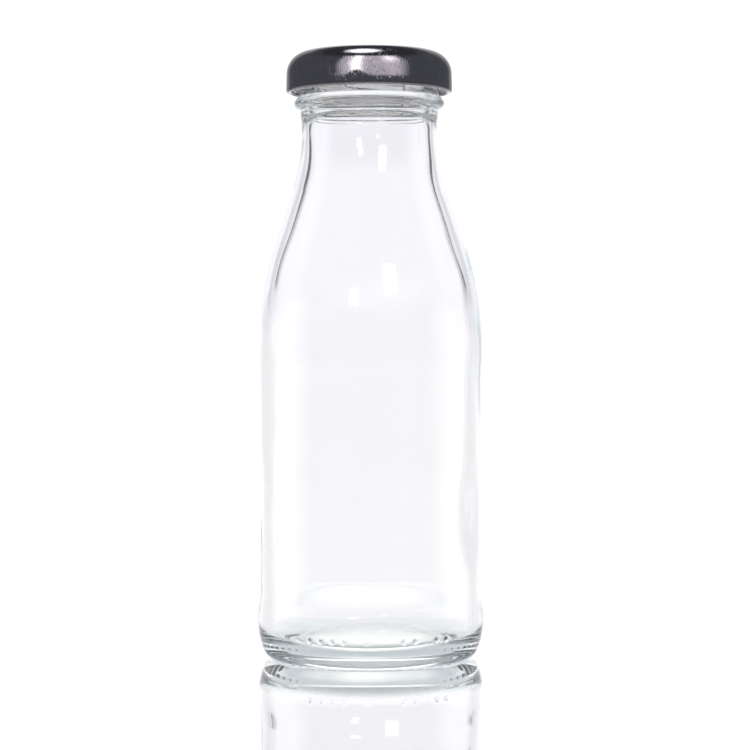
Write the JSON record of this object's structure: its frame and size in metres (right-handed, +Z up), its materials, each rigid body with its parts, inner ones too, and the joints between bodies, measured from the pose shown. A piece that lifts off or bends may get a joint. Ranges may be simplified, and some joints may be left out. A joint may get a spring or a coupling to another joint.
{
  "type": "milk bottle with twist-off cap",
  "caption": "Small clear glass milk bottle with a rounded shoulder, a recessed label panel and a gunmetal lugged twist-off cap.",
  "frame": {"origin": "centre of the ring that the bottle stands on, on the floor plane", "axes": "+Z up along the bottle's axis, -Y towards the side that carries the mould dots"},
  "size_m": [0.0612, 0.0616, 0.1641],
  "materials": {
    "clear_glass": "clear, slightly blue-grey soda-lime glass",
    "gunmetal_tinplate": "semi-gloss gunmetal lacquer on tinplate",
    "sealing_compound": "matt off-white plastisol"
  },
  "bodies": {
    "glass": {"bottle": "clear_glass"},
    "cap_carrier": {"cap_gasket": "sealing_compound"},
    "cap": {"cap_shell": "gunmetal_tinplate"}
  },
  "joints": [
    {"name": "cap_lift", "type": "slide", "parent": "glass", "child": "cap_carrier", "axis": [0, 0, 1], "range_m": [0, 0.06]},
    {"name": "cap_turn", "type": "hinge", "parent": "cap_carrier", "child": "cap", "pos_m": [0, 0, 0.155], "axis": [0, 0, 1], "range_deg": [-60, 0]}
  ]
}
